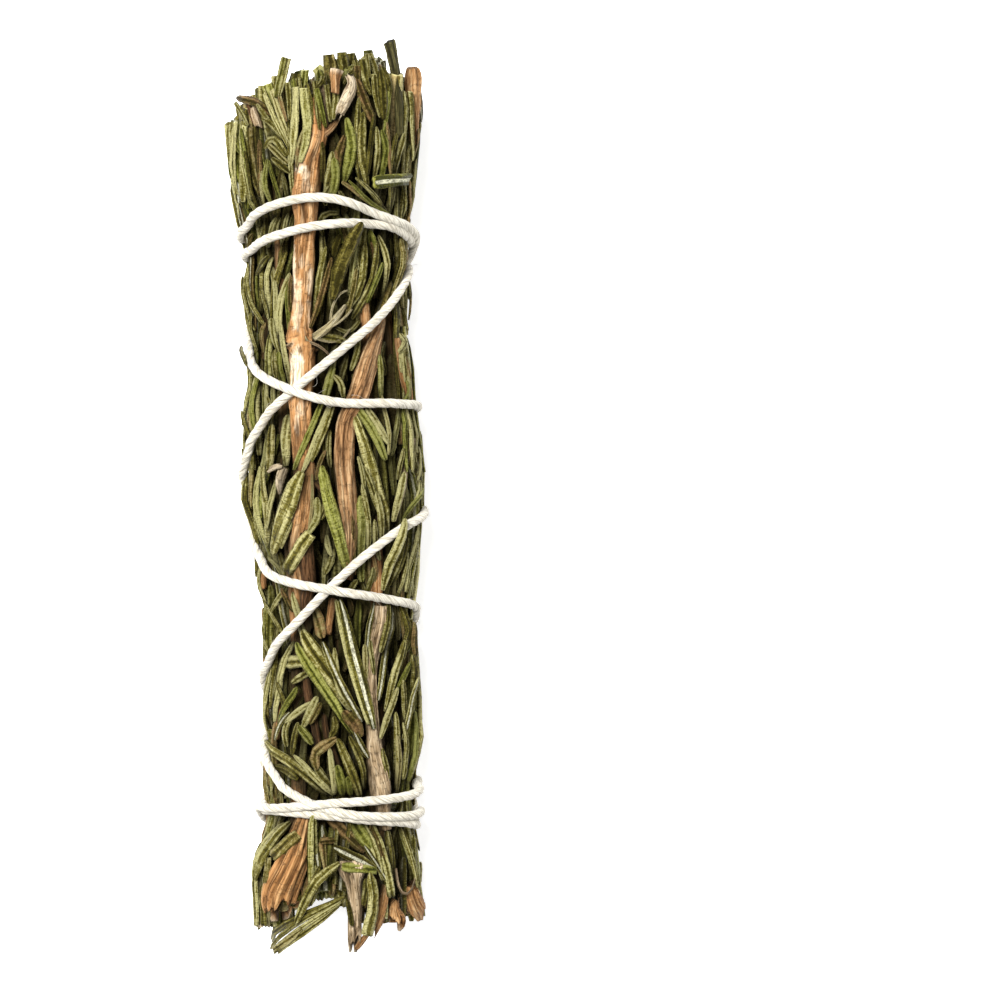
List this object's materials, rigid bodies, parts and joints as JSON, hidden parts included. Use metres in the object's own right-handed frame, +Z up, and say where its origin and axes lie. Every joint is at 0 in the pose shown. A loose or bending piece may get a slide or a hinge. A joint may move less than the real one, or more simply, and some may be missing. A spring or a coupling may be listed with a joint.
{
  "type": "rosemary bundle",
  "caption": "Dried rosemary sprigs, bare twigs and loose leaves bound into a long bundle with one criss-crossed cotton string, lying on its side.",
  "frame": {"origin": "middle of the bundle's length and width, on the surface it lies on", "axes": "+Y along the bundle towards its trimmed leafy end, +X to its right seen from above, +Z up from the surface"},
  "size_m": [0.0285, 0.1284, 0.0229],
  "materials": {
    "leaf": "dry, wrinkled olive-green leaf with a faint waxy sheen",
    "bark": "thin fibrous bark, matt",
    "string": "undyed twisted cotton, matt and slightly fuzzy"
  },
  "bodies": {
    "root": {"binding_string": "string", "leaf_01": "leaf", "leaf_02": "leaf", "leaf_03": "leaf", "leaf_04": "leaf", "leaf_05": "leaf", "leaf_06": "leaf", "leaf_07": "leaf", "leaf_08": "leaf", "leaf_09": "leaf", "leaf_10": "leaf", "leaf_11": "leaf", "leaf_12": "leaf", "leaf_13": "leaf", "leaf_14": "leaf", "leaf_15": "leaf", "leaf_16": "leaf", "leaf_17": "leaf", "leaf_18": "leaf", "leaf_19": "leaf", "leaf_20": "leaf", "leaf_21": "leaf", "leaf_22": "leaf", "leaf_23": "leaf", "leaf_24": "leaf", "main_twig": "bark", "pale_twig": "bark", "slanting_twig": "bark", "split_twig": "bark", "sprig_01": "leaf", "sprig_02": "leaf", "sprig_03": "leaf", "sprig_04": "leaf", "sprig_05": "leaf", "sprig_06": "leaf", "sprig_07": "leaf", "sprig_08": "leaf", "sprig_09": "leaf", "sprig_10": "leaf", "sprig_11": "leaf", "sprig_12": "leaf", "tall_twig": "bark"}
  },
  "joints": []
}
